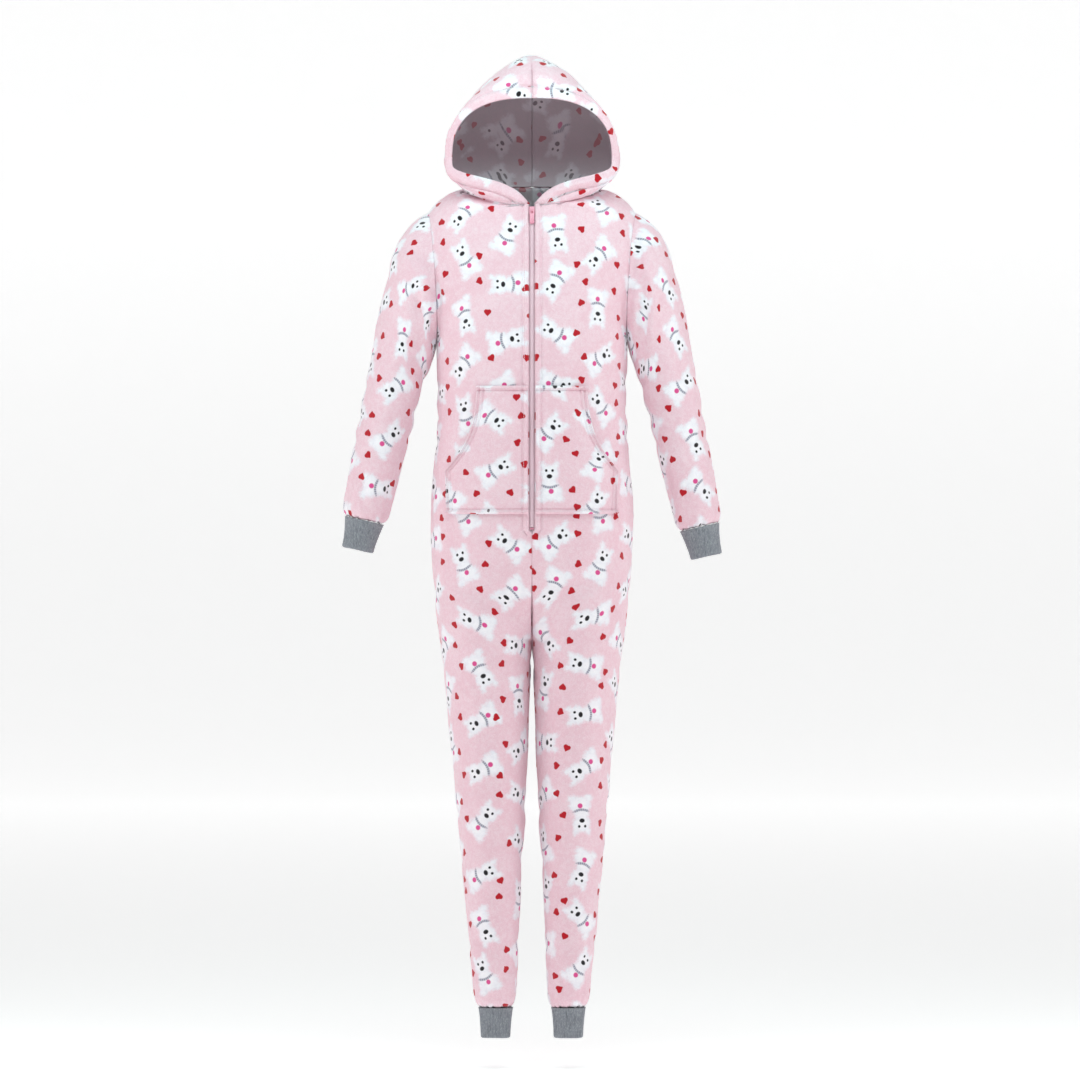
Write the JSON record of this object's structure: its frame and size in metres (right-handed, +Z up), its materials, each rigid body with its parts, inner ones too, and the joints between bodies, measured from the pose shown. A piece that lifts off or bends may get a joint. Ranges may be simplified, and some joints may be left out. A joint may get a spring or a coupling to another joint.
{
  "type": "hooded onesie pajama",
  "caption": "Hooded plush fleece onesie pajama, worn form with the hood up, front zip, split kangaroo pocket and rib cuffs.",
  "frame": {"origin": "between the wearer's shoulders at the foot of the neck, where the shoulder seams hang", "axes": "+Z up, the front faces -Y, the wearer's left is +X"},
  "size_m": [0.623, 0.2475, 1.6194],
  "materials": {
    "fleece": "pale pink brushed plush fleece, printed with white puppies and small red hearts",
    "rib_knit": "grey marl rib knit",
    "zip_tape": "pink woven tape with a matching nylon coil",
    "zip_enamel": "pink enamelled metal"
  },
  "bodies": {
    "garment": {"front_left": "fleece", "back_left": "fleece", "sleeve_left": "fleece", "wrist_cuff_left": "rib_knit", "ankle_cuff_left": "rib_knit", "hood_left": "fleece", "pocket_left": "fleece", "zip_left": "zip_tape", "front_right": "fleece", "back_right": "fleece", "sleeve_right": "fleece", "wrist_cuff_right": "rib_knit", "ankle_cuff_right": "rib_knit", "hood_right": "fleece", "pocket_right": "fleece", "zip_right": "zip_tape", "zip_stop": "zip_enamel", "zip_slider": "zip_enamel"},
    "pull_tab": {"zip_pull": "zip_enamel"}
  },
  "joints": [
    {"name": "zip_pull_swing", "type": "hinge", "parent": "garment", "child": "pull_tab", "pos_m": [0, -0.08254, -0.03767], "axis": [-1, 0, 0], "range_deg": [0, 150]}
  ]
}
